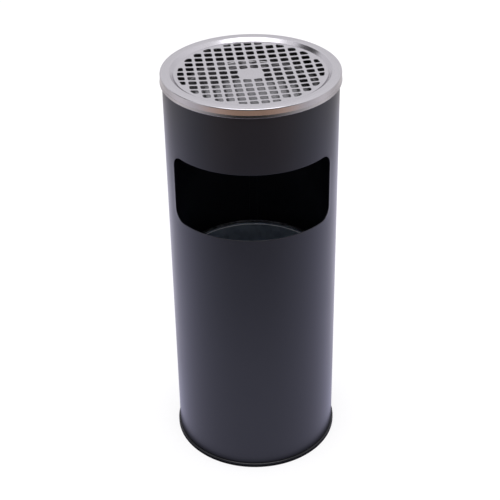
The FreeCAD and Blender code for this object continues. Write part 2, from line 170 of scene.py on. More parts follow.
# Zinc crystal tones, painted darker and bluer than bare zinc as shade inside the liner.
ZINC_SHADED_COLORS = ((0.22, 0.28, 0.35), (0.32, 0.385, 0.47))
ZINC_FEATHER = (0.46, 0.50, 0.55)
ZINC_BLOOM = (0.56, 0.56, 0.56)
# Painted highlight: the near-white colour of the band round the liner's rim.
ZINC_RIM_HIGHLIGHT = (0.94, 0.95, 0.97)
ZINC_CRYSTAL = 0.009          # m
WIRE_COLORS = ((0.42, 0.42, 0.43), (0.28, 0.28, 0.29))
PLASTIC_COLORS = ((0.004, 0.004, 0.005), (0.030, 0.030, 0.032))
PLASTIC_IOR = 1.42
SCUFF_HEIGHT = 0.003          # how far up the ring the floor scuffs it, m


# ------------------------------------------------------------------ mesh helpers

def new_piece(name, points, faces, body, node, slot, material):
    """A closed mesh from points in mm that stands for a CAD node and rides on its body."""
    mesh = bpy.data.meshes.new(name)
    mesh.from_pydata([Vector(p) * MM for p in points], [], faces)
    bm = bmesh.new()
    bm.from_mesh(mesh)
    bmesh.ops.recalc_face_normals(bm, faces=bm.faces)
    mark_wear(bm)
    bm.to_mesh(mesh)
    bm.free()
    mesh.polygons.foreach_set("use_smooth", [True] * len(mesh.polygons))
    mesh.set_sharp_from_angle(angle=SHARP_ANGLE)
    mesh.materials.append(material)
    obj = bpy.data.objects.new(name, mesh)
    bpy.context.scene.collection.objects.link(obj)
    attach(obj, body)
    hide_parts(node)


def mark_wear(bm):
    """Keeps on every vertex how tight the outside edge is that it lies on, 0 to 1."""
    wear = bm.verts.layers.float.new("wear")
    for edge in bm.edges:
        angle = edge.calc_face_angle_signed(0.0)
        if angle < FLAT_ANGLE:
            continue
        one, other = (face.calc_center_median() for face in edge.link_faces)
        radius = (one - other).length / angle / MM
        tightness = max(0.0, 1 - radius / WEAR_RADIUS)
        for vertex in edge.verts:
            vertex[wear] = max(vertex[wear], tightness)


def rounded(corners):
    """Points round a closed outline of (r, z, rounding) corners, with arcs at the rounded
    ones and support points beside every bend."""
    points = []
    for i, (r, z, rounding) in enumerate(corners):
        here = np.array([r, z], float)
        if rounding == 0:
            points.append(here)
            continue
        a = np.array(corners[i - 1][:2], float) - here
        b = np.array(corners[(i + 1) % len(corners)][:2], float) - here
        a, b = a / np.linalg.norm(a), b / np.linalg.norm(b)
        half = math.acos(float(a @ b)) / 2
        centre = here + (a + b) / np.linalg.norm(a + b) * rounding / math.sin(half)
        u = here + a * rounding / math.tan(half) - centre
        v = here + b * rounding / math.tan(half) - centre
        sweep = math.pi - 2 * half
        steps = max(2, round(sweep / ARC_STEP))
        for s in range(steps + 1):
            t = s / steps
            points.append(centre + (math.sin((1 - t) * sweep) * u + math.sin(t * sweep) * v)
                          / math.sin(sweep))
    return with_support(points)


def with_support(points):
    """Adds a point close to each end of every long straight run."""
    out = []
    for i, point in enumerate(points):
        out.append(point)
        step = points[(i + 1) % len(points)] - point
        length = np.linalg.norm(step)
        if length > 6 * SUPPORT and point[0] + step[0] > 0:
            out.append(point + step * SUPPORT / length)
            out.append(point + step * (1 - SUPPORT / length))
    return out


def sheet_corners(path, thickness):
    """Outline of a bent sheet from (r, z, rounding) corners along its upper or outer face,
    going outwards or down; the other face is on the right of the path."""
    normals = []
    for start, end in zip(path, path[1:]):
        dx, dz = end[0] - start[0], end[1] - start[1]
        length = math.hypot(dx, dz)
        normals.append((dz / length, -dx / length))
    other = []
    for i, (r, z, rounding) in enumerate(path):
        before, after = normals[max(i - 1, 0)], normals[min(i, len(normals) - 1)]
        share = thickness / (1 + before[0] * after[0] + before[1] * after[1])
        turn = before[0] * after[1] - before[1] * after[0]
        if rounding:
            rounding += math.copysign(thickness, turn)
        other.append((r + (before[0] + after[0]) * share,
                      z + (before[1] + after[1]) * share, rounding))
    return path, other[::-1]


def lathe(profile, steps=LATHE_STEPS):
    """Points and faces of a closed (r, z) profile turned round the axis. A profile that
    starts and ends on the axis closes there."""
    on_axis = profile[0][0] < 1e-9
    rings = profile[1:-1] if on_axis else profile
    angles = [TURN * i / steps for i in range(steps)]
    points = [(r * math.cos(a), r * math.sin(a), z) for r, z in rings for a in angles]
    faces = []
    for j in range(len(rings) - 1 if on_axis else len(rings)):
        k = (j + 1) % len(rings)
        for i in range(steps):
            n = (i + 1) % steps
            faces.append((j * steps + i, j * steps + n, k * steps + n, k * steps + i))
    if on_axis:
        first, last = len(points), len(points) + 1
        points += [(0, 0, profile[0][1]), (0, 0, profile[-1][1])]
        end = (len(rings) - 1) * steps
        for i in range(steps):
            n = (i + 1) % steps
            faces += [(first, n, i), (last, end + i, end + n)]
    return points, faces


def steps_between(start, end, size):
    """Evenly spaced values from start up to, but not including, end."""
    count = max(1, round((end - start) / size))
    return [start + (end - start) * i / count for i in range(count)]


def filled(stops, size):
    """The sorted stops with evenly spaced values between them."""
    stops = sorted(stops)
    values = []
    for start, end in zip(stops, stops[1:]):
        values += steps_between(start, end, size)
    return values + [stops[-1]]


# ------------------------------------------------------------------ outer shell

class Shell:
    """The tube's mesh: a grid of columns round the wall and rows up it, outside and
    inside, with the opening and the weld marks let into it. Arc positions are in mm
    along the outside, counted from the front."""

    def __init__(self):
        self.points, self.faces = [], []
        self.margin = OPENING_HEM + SUPPORT    # the grid stops this far outside the opening
        self.edge = OPENING_HALF_ANGLE * SHELL_RADIUS + self.margin
        self.low, self.high = OPENING_BOTTOM - self.margin, OPENING_TOP + self.margin
        self.corner = OPENING_CORNER + self.margin
        self.back = math.pi * SHELL_RADIUS
        self.weld_cell = WELD_RADIUS + WELD_MARGIN
        self.welds = [SHELL_BOTTOM + (i + 0.5) * WELD_PITCH
                      for i in range(int((SHELL_TOP - SHELL_BOTTOM) / WELD_PITCH))]
        self.set_columns()
        self.set_rows()
        self.build_walls()
        outer_loop = self.fill_corners(self.outer, self.outside)
        inner_loop = self.fill_corners(self.inner, self.inside)
        self.build_hem(outer_loop, inner_loop)
        for height in self.welds:
            self.build_weld(height)

    def set_columns(self):
        """Arc positions of the grid's columns: over the opening first, then round the back."""
        corner_step = self.corner / CORNER_CELLS
        front = filled([-self.edge, -self.edge + self.corner], corner_step)[:-1]
        front += filled([-self.edge + self.corner, self.edge - self.corner], WALL_STEP)[:-1]
        front += filled([self.edge - self.corner, self.edge], corner_step)
        seam = [-LAP_HALF_WIDTH - LAP_EDGE, -LAP_HALF_WIDTH, -JOINT_DEPTH, 0.0, JOINT_DEPTH,
                LAP_HALF_WIDTH, LAP_HALF_WIDTH + LAP_EDGE]
        seam = [self.back + s for s in seam]
        seam += [self.back + WELD_SIDE + s for s in (-self.weld_cell, self.weld_cell)]
        rear = filled([self.edge, 2 * self.back - self.edge] + seam, WALL_STEP)
        self.columns = front + rear[1:-1]
        self.right = len(front) - 1

    def set_rows(self):
        """Heights of the grid's rows, from the tube's foot to its curl."""
        corner_step = self.corner / CORNER_CELLS
        stops = [SHELL_BOTTOM, SHELL_BOTTOM + SUPPORT, LAP_TOP, LAP_TOP + LAP_EDGE,
                 SHELL_TOP - SHELL_CURL - SUPPORT, SHELL_TOP - SHELL_CURL]
        stops += filled([self.low, self.low + self.corner], corner_step)
        stops += filled([self.high - self.corner, self.high], corner_step)
        stops += [z + s for z in self.welds for s in (-self.weld_cell, self.weld_cell)]
        self.rows = filled(stops, ROW_STEP)
        self.first, self.last = self.row(self.low), self.row(self.high)

    def row(self, height):
        return min(range(len(self.rows)), key=lambda j: abs(self.rows[j] - height))

    def column(self, arc):
        return min(range(len(self.columns)), key=lambda i: abs(self.columns[i] - arc))

    def add(self, arc, radius, height):
        angle = arc / SHELL_RADIUS
        self.points.append((radius * math.sin(angle), -radius * math.cos(angle), height))
        return len(self.points) - 1

    def outside(self, arc, height):
        """Radius of the outer face, with the groove along the joint."""
        return SHELL_RADIUS - max(0.0, JOINT_DEPTH - abs(arc - self.back))

    def inside(self, arc, height):
        """Radius of the inner face, a sheet smaller where the joint laps."""
        lapped = abs(arc - self.back) <= LAP_HALF_WIDTH + 1e-6 and height <= LAP_TOP + 1e-6
        return SHELL_INSIDE - (SHELL_SHEET if lapped else 0.0)

    def build_walls(self):
        """Both walls, the curl that joins them at the top, and the cut edge below."""
        def ring(radius, height):
            return [self.add(arc, radius(arc, height), height) for arc in self.columns]

        self.outer = [ring(self.outside, z) for z in self.rows]
        self.inner = [ring(self.inside, z) for z in self.rows]
        centre_r, centre_z = SHELL_INSIDE + SHELL_CURL, SHELL_TOP - SHELL_CURL
        curl = []
        for radius, angles in ((SHELL_CURL - SHELL_SHEET, (math.pi, SHELL_CURL_END)),
                               (SHELL_CURL, (SHELL_CURL_END, math.pi))):
            for t in np.linspace(*angles, CURL_POINTS):
                r = centre_r + radius * math.cos(t)
                curl.append(ring(lambda arc, height, r=r: r, centre_z + radius * math.sin(t)))
        loop = self.outer + curl[1:-1] + self.inner[::-1]
        walls = len(self.rows)
        for p in range(len(loop)):
            q = (p + 1) % len(loop)
            in_outer, in_inner = q < walls and p < walls, p >= len(loop) - walls and q
            row = p if in_outer else len(loop) - 1 - q if in_inner else None
            for i in range(len(self.columns)):
                if row is not None and self.is_open(i, row, in_outer):
                    continue
                n = (i + 1) % len(self.columns)
                self.faces.append((loop[p][i], loop[p][n], loop[q][n], loop[q][i]))

    def is_open(self, column, row, outer):
        """Whether a cell belongs to the opening or to a weld mark."""
        if column < self.right and self.first <= row < self.last:
            return True
        weld_column = self.column(self.back + WELD_SIDE - self.weld_cell)
        weld_rows = [self.row(z - self.weld_cell) for z in self.welds]
        return outer and column == weld_column and row in weld_rows

    def corners(self):
        """Each corner of the grid's hole: the grid cells along it, in order round the
        opening, and the centre of its arc."""
        inner_left = self.column(-self.edge + self.corner)
        inner_right = self.column(self.edge - self.corner)
        inner_low, inner_high = self.row(self.low + self.corner), self.row(self.high - self.corner)
        columns = range(len(self.columns))
        rows = range(len(self.rows))
        right_part, left_part = columns[inner_right:self.right + 1], columns[0:inner_left + 1]
        low_part, high_part = rows[self.first:inner_low + 1], rows[inner_high:self.last + 1]
        return [
            ([(i, self.first) for i in right_part] + [(self.right, j) for j in low_part[1:]],
             (self.edge - self.corner, self.low + self.corner)),
            ([(self.right, j) for j in high_part] + [(i, self.last) for i in right_part[-2::-1]],
             (self.edge - self.corner, self.high - self.corner)),
            ([(i, self.last) for i in left_part[::-1]] + [(0, j) for j in high_part[-2::-1]],
             (-self.edge + self.corner, self.high - self.corner)),
            ([(0, j) for j in low_part[::-1]] + [(i, self.first) for i in left_part[1:]],
             (-self.edge + self.corner, self.low + self.corner)),
        ]

    def fill_corners(self, wall, radius_of):
        """Fills between the square grid and each corner's arc. Returns the opening's loop
        in this wall as (vertex, arc, height, direction into the opening)."""
        arc_sides = []
        for cells, (centre_arc, centre_height) in self.corners():
            arc_side = []
            for k, (i, j) in enumerate(cells):
                away = Vector((self.columns[i] - centre_arc, self.rows[j] - centre_height))
                away.normalize()
                if k in (0, len(cells) - 1):
                    vertex = wall[j][i]
                    arc, height = self.columns[i], self.rows[j]
                else:
                    arc = centre_arc + away.x * self.corner
                    height = centre_height + away.y * self.corner
                    vertex = self.add(arc, radius_of(arc, height), height)
                arc_side.append((vertex, arc, height, -away))
            for k in range(len(cells) - 1):
                (i0, j0), (i1, j1) = cells[k], cells[k + 1]
                quad = [wall[j0][i0], wall[j1][i1], arc_side[k + 1][0], arc_side[k][0]]
                self.faces.append(tuple(dict.fromkeys(quad)))
            arc_sides.append(arc_side)
        loop = []
        for k, arc_side in enumerate(arc_sides):
            into = arc_side[-1][3]
            loop += arc_side
            loop += [(wall[j][i], self.columns[i], self.rows[j], into)
                     for i, j in self.side_cells(k)]
        return loop

    def side_cells(self, k):
        """Grid points strictly between corner k and the next one."""
        cells = self.corners()
        (i0, j0), (i1, j1) = cells[k][0][-1], cells[(k + 1) % 4][0][0]
        if i0 == i1:
            step = 1 if j1 > j0 else -1
            return [(i0, j) for j in range(j0 + step, j1, step)]
        step = 1 if i1 > i0 else -1
        return [(i, j0) for i in range(i0 + step, i1, step)]

    def hem_section(self):
        """(distance outside the opening, depth below the outer face) along the folded
        edge, from the outer face round to the hem's end on the inner face."""
        quarter = np.linspace(0, math.pi / 2, HEM_POINTS)
        section = [(OPENING_HEM / 2, 0.0), (OPENING_ROUND + SUPPORT, 0.0)]
        section += [(OPENING_ROUND * (1 - math.sin(t)), OPENING_ROUND * (1 - math.cos(t)))
                    for t in quarter]
        section += [(outside, HEM_DEPTH - depth) for outside, depth in section[:1:-1]]
        section += [(OPENING_ROUND + SUPPORT, HEM_DEPTH), (OPENING_HEM / 2, HEM_DEPTH)]
        section += [(OPENING_HEM - HEM_END_ROUND * (1 - math.sin(t)),
                     HEM_DEPTH - HEM_END_ROUND * (1 - math.cos(t))) for t in quarter[::2]]
        return section + [(OPENING_HEM, SHELL_SHEET)]

    def build_hem(self, outer_loop, inner_loop):
        """The folded edge, as rings from the outer wall's loop to the inner wall's. Its
        upright stretches stand out a little from the tube."""
        rings = [[vertex for vertex, *_ in outer_loop]]
        for outside, depth in self.hem_section():
            shift = self.margin - outside
            lift = HEM_LIFT * (1 - outside / OPENING_HEM) ** 2
            rings.append([self.add(arc + into.x * shift,
                                   SHELL_RADIUS - depth + lift * into.x ** 2,
                                   height + into.y * shift)
                          for _, arc, height, into in outer_loop])
        rings.append([vertex for vertex, *_ in inner_loop])
        count = len(rings[0])
        for ring, following in zip(rings, rings[1:]):
            for k in range(count):
                n = (k + 1) % count
                self.faces.append((ring[k], ring[n], following[n], following[k]))

    def build_weld(self, height):
        """A shallow dish in the one grid cell of the outer wall left free for it."""
        arc = self.back + WELD_SIDE
        i, j = self.column(arc - self.weld_cell), self.row(height - self.weld_cell)
        square = [self.outer[j][i + 1], self.outer[j + 1][i + 1], self.outer[j + 1][i],
                  self.outer[j][i]]
        angles = [TURN * k / WELD_SIDES - TURN / 4 for k in range(WELD_SIDES)]
        rings = []
        for share in WELD_RINGS:
            reach = WELD_RADIUS * share
            radius = SHELL_RADIUS - WELD_DEPTH * (1 - share ** 2)
            rings.append([self.add(arc + reach * math.cos(a), radius,
                                   height + reach * math.sin(a)) for a in angles])
        for k in range(WELD_SIDES):
            n = (k + 1) % WELD_SIDES
            quarter = k * 4 // WELD_SIDES
            self.faces.append((square[quarter], rings[0][k], rings[0][n]))
            if n % (WELD_SIDES // 4) == 0:
                self.faces.append((square[quarter], rings[0][n], square[(quarter + 1) % 4]))
            for ring, following in zip(rings, rings[1:]):
                self.faces.append((ring[k], ring[n], following[n], following[k]))
        self.faces.append(tuple(rings[-1]))


# ------------------------------------------------------------------ grate

def smooth_max(a, b):
    """The larger of two distances, blended where they are nearly equal."""
    h = np.maximum(CLIP_BLEND - np.abs(a - b), 0) / CLIP_BLEND
    return np.maximum(a, b) + h * h * CLIP_BLEND / 4


def hole_distance(x, y, centre):
    """Distance from a hole's edge, positive in the metal, in the grid's own axes."""
    qx = np.abs(x - centre[0]) - (HOLE_SIDE / 2 - HOLE_CORNER)
    qy = np.abs(y - centre[1]) - (HOLE_SIDE / 2 - HOLE_CORNER)
    square = (np.hypot(np.maximum(qx, 0), np.maximum(qy, 0))
              + np.minimum(np.maximum(qx, qy), 0) - HOLE_CORNER)
    radius = np.hypot(x, y)
    return smooth_max(smooth_max(square, radius - PIERCED_RADII[1]), PIERCED_RADII[0] - radius)


def hole_middles():
    """(grid centre, middle of what is left of the hole) for every hole that is pierced."""
    steps = [(i - (HOLE_ROWS - 1) / 2) * HOLE_PITCH for i in range(HOLE_ROWS)]
    offsets = np.arange(-HOLE_SIDE / 2, HOLE_SIDE / 2, HOLE_SAMPLE) + HOLE_SAMPLE / 2
    found = []
    for cx in steps:
        for cy in steps:
            x, y = np.meshgrid(cx + offsets, cy + offsets)
            open_here = hole_distance(x, y, (cx, cy)) < 0
            if open_here.sum() * HOLE_SAMPLE ** 2 > SMALLEST_HOLE:
                found.append(((cx, cy), (x[open_here].mean(), y[open_here].mean())))
    return found


def hole_outline(centre, middle, level):
    """Points where the distance from the hole's edge is level, seen from its middle."""
    angles = (np.arange(HOLE_STEPS) + 0.5) * TURN / HOLE_STEPS
    low, high = np.zeros(HOLE_STEPS), np.full(HOLE_STEPS, HOLE_SIDE)
    for _ in range(HOLE_HALVINGS):
        reach = (low + high) / 2
        x = middle[0] + reach * np.cos(angles)
        y = middle[1] + reach * np.sin(angles)
        short = hole_distance(x, y, centre) < level
        low, high = np.where(short, reach, low), np.where(short, high, reach)
    return x, y


def grate_height(x, y):
    """Height of the dished upper face."""
    share = np.minimum(np.hypot(x, y) / DISH_RADIUS, 1.0)
    return GRATE_TOP - DISH_DEPTH * (1 - share ** 2)


def grate_mesh():
    """Dished disc pierced with rounded holes. Each hole's wall and the disc's edge are
    rings of points from the upper face to the lower, and both faces share one net."""
    soft = GRATE_ROUND * (1 - math.sqrt(0.5))
    section = [(GRATE_ROUND + SUPPORT / 2, 0.0), (GRATE_ROUND, 0.0), (soft, soft),
               (0.0, GRATE_ROUND)]
    section += [(level, GRATE_SHEET - depth) for level, depth in section[::-1]]
    points, faces = [], []
    cos_turn, sin_turn = math.cos(GRID_TURN), math.sin(GRID_TURN)
    angles = np.arange(LATHE_STEPS) * TURN / LATHE_STEPS

    def rim(level):
        radius = GRATE_RADIUS - level
        return radius * np.cos(angles), radius * np.sin(angles)

    def turned_hole(centre, middle, level):
        x, y = hole_outline(centre, middle, level)
        return x * cos_turn - y * sin_turn, x * sin_turn + y * cos_turn

    def add_wall(outline_at):
        """Rings of one wall; returns the indices of its upper and lower ring."""
        rings = []
        for level, depth in section:
            x, y = outline_at(level)
            start = len(points)
            points.extend(zip(x, y, grate_height(x, y) - depth))
            rings.append(range(start, len(points)))
        for ring, following in zip(rings, rings[1:]):
            for k in range(len(ring)):
                n = (k + 1) % len(ring)
                faces.append((ring[k], ring[n], following[n], following[k]))
        return rings[0], rings[-1]

    walls = [(None, add_wall(rim))]
    for centre, middle in hole_middles():
        walls.append((centre, add_wall(partial(turned_hole, centre, middle))))

    # The net: for every point, its place, its (upper, lower) vertices and its hole's centre
    flat, pairs, owners, edges = [], [], [], []
    for centre, (upper, lower) in walls:
        start = len(flat)
        count = len(upper)
        flat += [Vector(points[v][:2]) for v in upper]
        pairs += list(zip(upper, lower))
        owners += [centre] * count
        edges += [(start + k, start + (k + 1) % count) for k in range(count)]
    for a in angles[::2]:
        x, y = LEVEL_RING * math.cos(a), LEVEL_RING * math.sin(a)
        flat.append(Vector((x, y)))
        points.append((x, y, GRATE_TOP))
        points.append((x, y, GRATE_TOP - GRATE_SHEET))
        pairs.append((len(points) - 2, len(points) - 1))
        owners.append(None)
    _, _, triangles, origin, _, _ = delaunay_2d_cdt(flat, edges, [], 0, 1e-5)
    for triangle in triangles:
        ids = [origin[v][0] for v in triangle]
        holes = {owners[v] for v in ids}
        if len(holes) == 1 and None not in holes:
            middle = sum((flat[v] for v in ids), Vector((0, 0))) / 3
            x = middle.x * cos_turn + middle.y * sin_turn
            y = -middle.x * sin_turn + middle.y * cos_turn
            if hole_distance(x, y, holes.pop()) < section[0][0] - 1e-3:
                continue    # the triangle covers a hole
        faces.append(tuple(pairs[v][0] for v in ids))
        faces.append(tuple(pairs[v][1] for v in reversed(ids)))
    return points, faces


# ------------------------------------------------------------------ pan and base ring

def pan_mesh():
    """Bowl, seat, crowned rim and skirt in one sheet, its lower edge folded outwards."""
    upper, lower = sheet_corners([
        (0, PAN_FLOOR, 0),
        (PAN_FLOOR_RADIUS, PAN_FLOOR, PAN_FLOOR_ROUND),
        (PAN_BOWL_RADIUS, PAN_SEAT, PAN_BOWL_ROUND),
        (PAN_SEAT_RADIUS, PAN_SEAT, PAN_SEAT_ROUND),
        (PAN_CROWN_RADII[0], TOTAL_HEIGHT, PAN_CROWN_ROUNDS[0]),
        (PAN_CROWN_RADII[1], TOTAL_HEIGHT, PAN_CROWN_ROUNDS[1]),
        (PAN_SKIRT_RADIUS, PAN_SHOULDER, PAN_SHOULDER_ROUND),
        (PAN_SKIRT_RADIUS, PAN_SKIRT_FOOT, 0),
    ], PAN_SHEET)
    hem = [
        (PAN_SKIRT_RADIUS, PAN_HEM_TOP, 0),
        (PAN_SKIRT_RADIUS + PAN_HEM_STEP, PAN_HEM_TOP, 0),
        (PAN_HEM_RADIUS, PAN_SKIRT_FOOT, PAN_FOOT_ROUNDS[0]),
        (PAN_SKIRT_RADIUS - PAN_SHEET, PAN_SKIRT_FOOT, PAN_FOOT_ROUNDS[1]),
    ]
    return lathe(rounded(upper[:-1] + hem + lower[1:]))


def base_ring_mesh():
    """Black bead with a slot that takes the tube's foot."""
    slot_inside, slot_outside = RING_SLOT
    return lathe(rounded([
        (RING_INNER_RADIUS, 0, RING_FOOT_ROUND),
        (RING_RADIUS, 0, RING_FOOT_ROUND),
        (RING_RADIUS, RING_HEIGHT, RING_TOP_ROUND),
        (slot_outside, RING_HEIGHT, RING_LIP_ROUNDS[1]),
        (slot_outside, RING_WEB, 0),
        (slot_inside, RING_WEB, 0),
        (slot_inside, RING_INNER_HEIGHT, RING_LIP_ROUNDS[0]),
        (RING_INNER_RADIUS, RING_INNER_HEIGHT, RING_FOOT_ROUND),
    ]))


# ------------------------------------------------------------------ materials

class Graph:
    """Builds a node tree. The methods that make nodes return their output sockets."""

    def __init__(self, tree):
        self.nodes, self.links = tree.nodes, tree.links

    def add(self, kind, inputs, output=0, **settings):
        node = self.nodes.new(kind)
        for name, value in settings.items():
            setattr(node, name, value)
        for name, value in inputs.items():
            self.connect(value, node.inputs[name])
        return node.outputs[output]

    def connect(self, value, socket):
        """Sets an input to another node's output or to a plain value."""
        if isinstance(value, bpy.types.NodeSocket):
            self.links.new(value, socket)
        elif isinstance(value, tuple) and socket.type == "RGBA":
            socket.default_value = (*value, 1)
        else:
            socket.default_value = value

    def math(self, operation, a, b=0.0, c=0.0):
        return self.add("ShaderNodeMath", {0: a, 1: b, 2: c}, operation=operation)

    def times(self, a, b):
        return self.math("MULTIPLY", a, b)

    def fade(self, value, start, end, low=0.0, high=1.0):
        """low up to start, high past end, smooth between. start may be above end."""
        return self.add("ShaderNodeMapRange", {"Value": value, "From Min": start, "From Max": end,
                                               "To Min": low, "To Max": high},
                        interpolation_type="SMOOTHSTEP")

    def mix(self, factor, a, b):
        """a where factor is 0, b where it is 1."""
        return self.add("ShaderNodeMix", {"Factor": factor, "A": a, "B": b}, data_type="FLOAT")

    def tint(self, factor, a, b):
        """mix() for colours."""
        node = self.nodes.new("ShaderNodeMix")
        node.data_type = "RGBA"
        color_inputs = [socket for socket in node.inputs if socket.type == "RGBA"]
        color_outputs = [socket for socket in node.outputs if socket.type == "RGBA"]
        for value, socket in zip((factor, a, b), (node.inputs[0], *color_inputs)):
            self.connect(value, socket)
        return color_outputs[0]

    def place(self):
        """Position in metres on the piece."""
        return self.add("ShaderNodeTexCoord", {}, output="Object")

    def axes(self, vector):
        node = self.nodes.new("ShaderNodeSeparateXYZ")
        self.links.new(vector, node.inputs[0])
        return node.outputs[0], node.outputs[1], node.outputs[2]

    def radius(self, vector):
        """Distance from the vertical axis."""
        x, y, _ = self.axes(vector)
        return self.math("SQRT", self.math("ADD", self.times(x, x), self.times(y, y)))

    def vector(self, x, y, z):
        return self.add("ShaderNodeCombineXYZ", {0: x, 1: y, 2: z})

    def noise(self, vector, grain, detail=2.0, roughness=0.5):
        """0 to 1, with features about grain metres across."""
        return self.add("ShaderNodeTexNoise", {"Vector": vector, "Scale": 1 / grain,
                                               "Detail": detail, "Roughness": roughness})

    def bump(self, height, depth, normal=None):
        """Relief of depth metres from a 0 to 1 height."""
        inputs = {"Height": height, "Distance": depth, "Strength": 1.0}
        if normal:
            inputs["Normal"] = normal
        return self.add("ShaderNodeBump", inputs)

    def wear(self):
        """1 on tight outside edges, 0 on open faces."""
        return self.add("ShaderNodeAttribute", {}, output="Fac", attribute_name="wear")


def new_material(name):
    m = bpy.data.materials.new(name)
    m.use_nodes = True
    return m, Graph(m.node_tree), m.node_tree.nodes["Principled BSDF"]


def connect(graph, shader, **inputs):
    """Connects a shader's inputs by their names, as in base_color."""
    for name, value in inputs.items():
        socket = shader.inputs[name.replace("_", " ").title().replace("Ior", "IOR")]
        graph.connect(value, socket)


def powder_coat():
    """Graphite polyester powder: fine orange peel, a little dust, edges rubbed thin, with painted
    highlight.
    """
    m, g, shader = new_material("powder_coat")
    place = g.place()
    peel = g.noise(place, 0.0011, 1.0)
    fine = g.noise(place, 0.00025, 2.0)
    broad = g.noise(place, 0.06, 4.0)
    scuff = g.noise(place, 0.004, 6.0, 0.65)
    # Tight edges turn lighter: partly rubbed paint, partly painted highlight where their rounding
    # catches light.
    rubbed = g.fade(g.math("ADD", g.wear(), scuff), 1.02, 1.35)
    dust = g.times(g.fade(g.noise(place, 0.0006, 0.0), 0.76, 0.84), 0.35)
    color = g.tint(broad, *COAT_COLORS)
    color = g.tint(dust, color, COAT_DUST)
    color = g.tint(g.times(rubbed, 0.7), color, COAT_WEAR_AND_HIGHLIGHT)
    roughness = g.mix(broad, COAT_ROUGHNESS - 0.03, COAT_ROUGHNESS + 0.03)
    roughness = g.math("ADD", roughness, g.times(fine, 0.04))
    relief = g.bump(peel, 0.000018)
    relief = g.bump(fine, 0.000003, relief)
    connect(g, shader, base_color=color, roughness=roughness, ior=COAT_IOR, normal=relief)
    return m


def brushed_steel(name, streaks, tangent, dull):
    """Stainless sheet with brushing lines. streaks(graph) gives the noise vector that is
    stretched along the brushing, tangent(graph) the brushing direction, and dull(graph)
    how far the surface gets the bowl's painted shade and its roughness."""
    m, g, shader = new_material(name)
    place = g.place()
    lines = g.noise(streaks(g), 0.0004, 3.0, 0.6)
    coarse = g.noise(streaks(g), 0.0018, 2.0)
    cloud = g.noise(place, 0.035, 3.0)
    smudge = g.fade(g.noise(place, 0.012, 4.0, 0.6), 0.55, 0.8)
    color = g.tint(lines, *STEEL_COLORS)
    color = g.tint(g.times(smudge, 0.25), color, STEEL_SMUDGE)
    height = g.axes(place)[2]
    wall_foot = [(PAN_FLOOR + rise) * MM for rise in BOWL_WALL_FOOT]
    # Painted shade inside the bowl: a dark floor and a darker wall.
    bowl_shade = g.tint(g.fade(height, *wall_foot), *BOWL_SHADE_COLORS)
    color = g.tint(dull(g), color, bowl_shade)
    roughness = g.mix(cloud, STEEL_ROUGHNESS - 0.03, STEEL_ROUGHNESS + 0.04)
    roughness = g.math("ADD", roughness, g.times(coarse, 0.05))
    roughness = g.math("SUBTRACT", roughness, g.times(g.wear(), 0.05))
    roughness = g.mix(dull(g), roughness, BOWL_ROUGHNESS)
    relief = g.bump(g.math("ADD", lines, coarse), 0.0000022)
    connect(g, shader, base_color=color, metallic=1.0, roughness=roughness,
            anisotropic=0.35, normal=relief, tangent=tangent(g))
    return m


def never(g):
    """0 everywhere: the grate gets no painted shade."""
    return 0.0


def in_bowl(g):
    """Near 1 on the inner face of the pan's bowl, which gets painted shade, 0 elsewhere. The
    inner face is the one that looks up or towards the axis."""
    place = g.place()
    radius = g.radius(place)
    inside = g.fade(radius, PAN_SEAT_RADIUS * MM, (PAN_SEAT_RADIUS - BOWL_SHADE_EDGE) * MM)
    normal = g.add("ShaderNodeTexCoord", {}, output="Normal")
    up = g.axes(normal)[2]
    outwards = g.add("ShaderNodeVectorMath", {0: normal, 1: place}, output="Value",
                     operation="DOT_PRODUCT")
    outwards = g.math("SUBTRACT", outwards, g.times(up, g.axes(place)[2]))
    outwards = g.math("DIVIDE", outwards, radius)
    inner_face = g.fade(g.math("SUBTRACT", up, outwards), -0.05, 0.05)
    return g.times(g.times(inside, inner_face), 0.9)


def turned_streaks(g):
    """Stretched round the axis, so that the lines are circles on level parts and walls."""
    place = g.place()
    x, y, z = g.axes(place)
    radius = g.radius(place)
    shrunk_turn = 0.0035    # how far the pattern moves in one radian, m
    along_x = g.times(g.math("DIVIDE", x, radius), shrunk_turn)
    along_y = g.times(g.math("DIVIDE", y, radius), shrunk_turn)
    return g.vector(g.math("ADD", radius, z), along_x, along_y)


def turned_tangent(g):
    """Round the axis."""
    return g.add("ShaderNodeTangent", {}, direction_type="RADIAL", axis="Z")


def straight_streaks(g):
    """Stretched along the grate's grid."""
    turned = g.add("ShaderNodeVectorRotate", {"Vector": g.place(), "Angle": -GRID_TURN},
                   rotation_type="Z_AXIS")
    x, y, z = g.axes(turned)
    return g.vector(x, g.times(y, 0.02), z)


def straight_tangent(g):
    """Along the grate's grid."""
    return g.vector(-math.sin(GRID_TURN), math.cos(GRID_TURN), 0.0)


